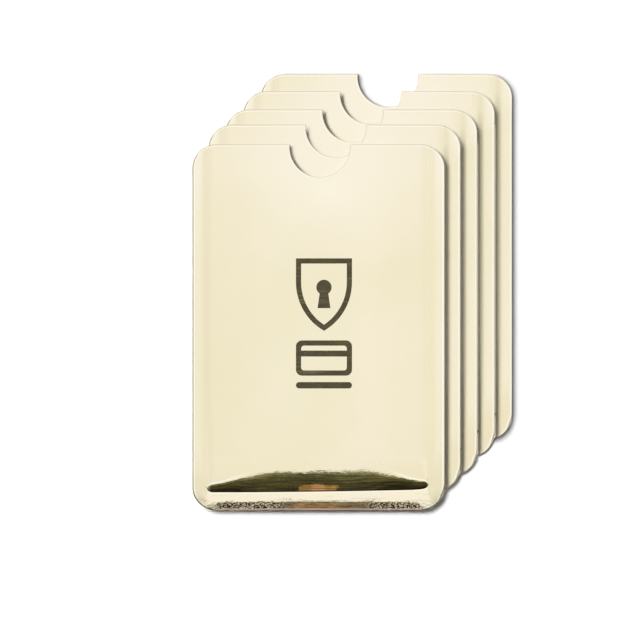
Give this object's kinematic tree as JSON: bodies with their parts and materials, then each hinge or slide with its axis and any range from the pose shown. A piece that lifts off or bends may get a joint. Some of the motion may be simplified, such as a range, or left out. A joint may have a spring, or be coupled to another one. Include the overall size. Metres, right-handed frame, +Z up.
{
  "type": "rfid card sleeve",
  "caption": "Set of slim gold foil-laminate card sleeves laid in a stepped row, each a flat pocket sealed on three edges with a thumb notch at its open mouth.",
  "frame": {"origin": "bottom centre of the set's bounding box, on the surface that the lowest sleeve lies on", "axes": "+X to the right across the sleeves, +Y along them towards their mouths, +Z up out of the printed faces"},
  "size_m": [0.08, 0.1092, 0.0069],
  "materials": {
    "gold_film": "metallized mirror gloss",
    "barrier_foil": "bright rolled",
    "paper_liner": "matt coated",
    "seal_adhesive": "satin",
    "emblem_ink": "satin print"
  },
  "bodies": {
    "sleeve_1": {"sleeve_1_front_film": "gold_film", "sleeve_1_front_foil": "barrier_foil", "sleeve_1_front_liner": "paper_liner", "sleeve_1_back_liner": "paper_liner", "sleeve_1_back_foil": "barrier_foil", "sleeve_1_back_film": "gold_film", "sleeve_1_left_seal": "seal_adhesive", "sleeve_1_right_seal": "seal_adhesive", "sleeve_1_end_seal": "seal_adhesive", "sleeve_1_emblem": "emblem_ink"},
    "sleeve_2": {"sleeve_2_front_film": "gold_film", "sleeve_2_front_foil": "barrier_foil", "sleeve_2_front_liner": "paper_liner", "sleeve_2_back_liner": "paper_liner", "sleeve_2_back_foil": "barrier_foil", "sleeve_2_back_film": "gold_film", "sleeve_2_left_seal": "seal_adhesive", "sleeve_2_right_seal": "seal_adhesive", "sleeve_2_end_seal": "seal_adhesive", "sleeve_2_emblem": "emblem_ink"},
    "sleeve_3": {"sleeve_3_front_film": "gold_film", "sleeve_3_front_foil": "barrier_foil", "sleeve_3_front_liner": "paper_liner", "sleeve_3_back_liner": "paper_liner", "sleeve_3_back_foil": "barrier_foil", "sleeve_3_back_film": "gold_film", "sleeve_3_left_seal": "seal_adhesive", "sleeve_3_right_seal": "seal_adhesive", "sleeve_3_end_seal": "seal_adhesive", "sleeve_3_emblem": "emblem_ink"},
    "sleeve_4": {"sleeve_4_front_film": "gold_film", "sleeve_4_front_foil": "barrier_foil", "sleeve_4_front_liner": "paper_liner", "sleeve_4_back_liner": "paper_liner", "sleeve_4_back_foil": "barrier_foil", "sleeve_4_back_film": "gold_film", "sleeve_4_left_seal": "seal_adhesive", "sleeve_4_right_seal": "seal_adhesive", "sleeve_4_end_seal": "seal_adhesive", "sleeve_4_emblem": "emblem_ink"},
    "sleeve_5": {"sleeve_5_front_film": "gold_film", "sleeve_5_front_foil": "barrier_foil", "sleeve_5_front_liner": "paper_liner", "sleeve_5_back_liner": "paper_liner", "sleeve_5_back_foil": "barrier_foil", "sleeve_5_back_film": "gold_film", "sleeve_5_left_seal": "seal_adhesive", "sleeve_5_right_seal": "seal_adhesive", "sleeve_5_end_seal": "seal_adhesive", "sleeve_5_emblem": "emblem_ink"}
  },
  "joints": [
    {"name": "sleeve_2_slide", "type": "slide", "parent": "sleeve_1", "child": "sleeve_2", "axis": [-0.7152, -0.699, 0], "range_m": [-0.00617, 0.1]},
    {"name": "sleeve_3_slide", "type": "slide", "parent": "sleeve_2", "child": "sleeve_3", "axis": [-0.6928, -0.7211, 0], "range_m": [-0.00636, 0.1]},
    {"name": "sleeve_4_slide", "type": "slide", "parent": "sleeve_3", "child": "sleeve_4", "axis": [-0.7388, -0.6739, 0], "range_m": [-0.0057, 0.1]},
    {"name": "sleeve_5_slide", "type": "slide", "parent": "sleeve_4", "child": "sleeve_5", "axis": [-0.6287, -0.7776, 0], "range_m": [-0.00638, 0.1]}
  ]
}
